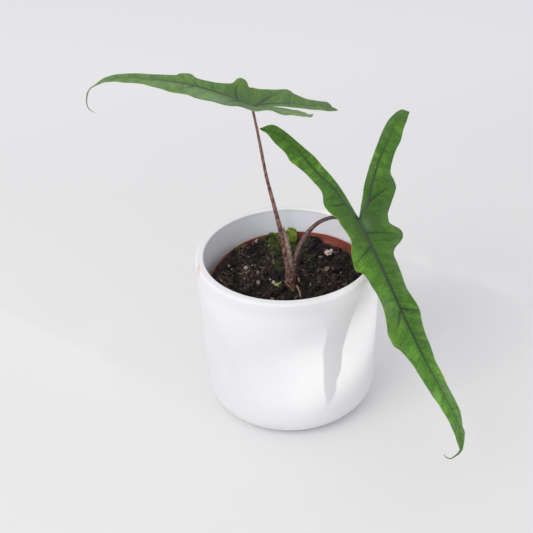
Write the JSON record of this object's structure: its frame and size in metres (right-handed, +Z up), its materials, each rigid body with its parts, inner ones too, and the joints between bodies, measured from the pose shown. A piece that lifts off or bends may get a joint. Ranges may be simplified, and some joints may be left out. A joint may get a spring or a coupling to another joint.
{
  "type": "potted alocasia",
  "caption": "Young narrow-leaved alocasia in a plastic nursery pot inside a plain white cover pot, with long arrow-shaped leaves on slim mottled stalks.",
  "frame": {"origin": "centre of the cover pot's flat underside, where the plant stands", "axes": "+Z up along the pot's axis; -Y is the front that is looked at; +X to its right, where the lower leaf hangs over the rim"},
  "size_m": [0.2504, 0.2081, 0.2744],
  "materials": {
    "cover_pot": "satin",
    "nursery_pot": "satin",
    "soil": "matte",
    "corm": "matte",
    "moss": "matte",
    "stalk": "satin",
    "leaf": "satin"
  },
  "bodies": {
    "root": {"cover_pot": "cover_pot", "nursery_pot": "nursery_pot", "soil": "soil", "corm_and_roots": "corm", "moss_cushion_back": "moss", "moss_cushion_left": "moss", "upper_leaf_stalk": "stalk", "lower_leaf_stalk": "stalk", "upper_leaf_blade": "leaf", "lower_leaf_blade": "leaf"}
  },
  "joints": []
}
